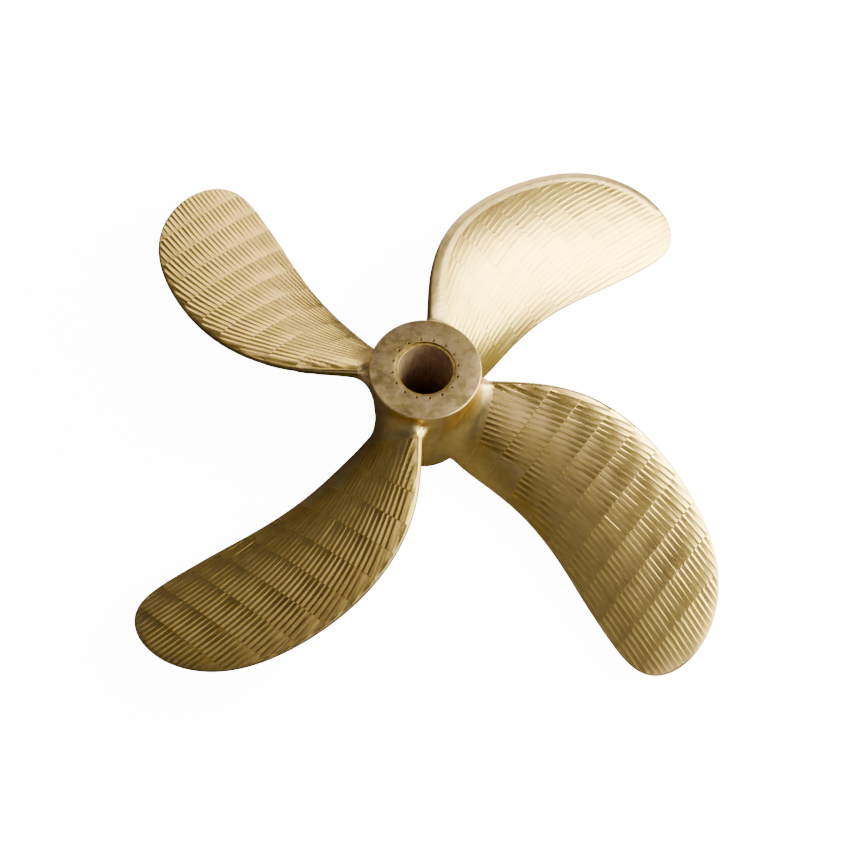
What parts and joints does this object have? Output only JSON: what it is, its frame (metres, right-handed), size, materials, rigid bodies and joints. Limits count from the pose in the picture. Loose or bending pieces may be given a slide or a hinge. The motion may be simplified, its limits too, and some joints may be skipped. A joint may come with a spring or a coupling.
{
  "type": "ship propeller",
  "caption": "Fixed-pitch ship propeller: skewed, milled bronze blades on a tapered hub with a conical shaft bore and a bolted seal recess.",
  "frame": {"origin": "centre of the hub's aft face, which lies on the floor; the shaft axis passes through it", "axes": "+Z along the shaft axis, forward and up; the propeller turns ahead about +Z by the right-hand rule; +X is the picture's right"},
  "size_m": [2.5686, 2.5686, 0.554],
  "materials": {
    "hub_bronze": "turned nickel-aluminium bronze, dulled to tan on the end face",
    "blade_bronze": "milled nickel-aluminium bronze with the cutter's marks left in it"
  },
  "bodies": {
    "root": {"hub": "hub_bronze", "blade_1": "blade_bronze", "blade_2": "blade_bronze", "blade_3": "blade_bronze", "blade_4": "blade_bronze"}
  },
  "joints": []
}
